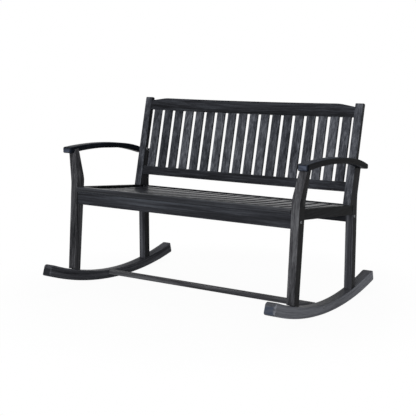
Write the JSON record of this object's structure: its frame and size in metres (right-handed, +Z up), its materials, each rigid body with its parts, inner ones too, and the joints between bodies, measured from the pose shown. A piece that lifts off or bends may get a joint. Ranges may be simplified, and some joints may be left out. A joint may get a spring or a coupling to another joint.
{
  "type": "rocking bench",
  "caption": "Slatted wooden rocking bench with a raked back, arched arms and two curved runners joined by a low stretcher",
  "frame": {"origin": "On the floor, in the middle of the bounding box's width and depth.", "axes": "+X along the seat to the sitter's left hand, which is at the right of the picture; +Y to the back of the bench; +Z up."},
  "size_m": [1.2574, 0.9398, 0.8636],
  "materials": {
    "wood": "dark charcoal stain, satin, grain showing through",
    "steel": "black, satin",
    "rubber": "matt"
  },
  "bodies": {
    "root": {"arm_left": "wood", "arm_right": "wood", "back_bolts": "steel", "back_post_left": "wood", "back_post_right": "wood", "back_slat_01": "wood", "back_slat_02": "wood", "back_slat_03": "wood", "back_slat_04": "wood", "back_slat_05": "wood", "back_slat_06": "wood", "back_slat_07": "wood", "back_slat_08": "wood", "back_slat_09": "wood", "back_slat_10": "wood", "back_slat_11": "wood", "back_slat_12": "wood", "back_slat_13": "wood", "back_slat_14": "wood", "back_slat_15": "wood", "back_slat_16": "wood", "back_slat_17": "wood", "back_slat_18": "wood", "barrel_nuts": "steel", "crest_rail": "wood", "frame_bolts": "steel", "front_apron": "wood", "front_leg_left": "wood", "front_leg_right": "wood", "front_seat_board": "wood", "lower_back_rail": "wood", "rear_leg_left": "wood", "rear_leg_right": "wood", "rear_seat_rail": "wood", "rear_stop_pads": "rubber", "runner_left": "wood", "runner_right": "wood", "seat_cross_rail": "wood", "seat_side_rail_left": "wood", "seat_side_rail_right": "wood", "seat_slat_01": "wood", "seat_slat_02": "wood", "seat_slat_03": "wood", "seat_slat_04": "wood", "seat_slat_05": "wood", "seat_slat_06": "wood", "seat_slat_07": "wood", "seat_slat_08": "wood", "seat_slat_09": "wood", "seat_slat_10": "wood", "seat_slat_11": "wood", "seat_slat_12": "wood", "seat_slat_13": "wood", "seat_slat_14": "wood", "seat_slat_15": "wood", "seat_slat_16": "wood", "seat_slat_17": "wood", "seat_slat_18": "wood", "stretcher": "wood"}
  },
  "joints": []
}
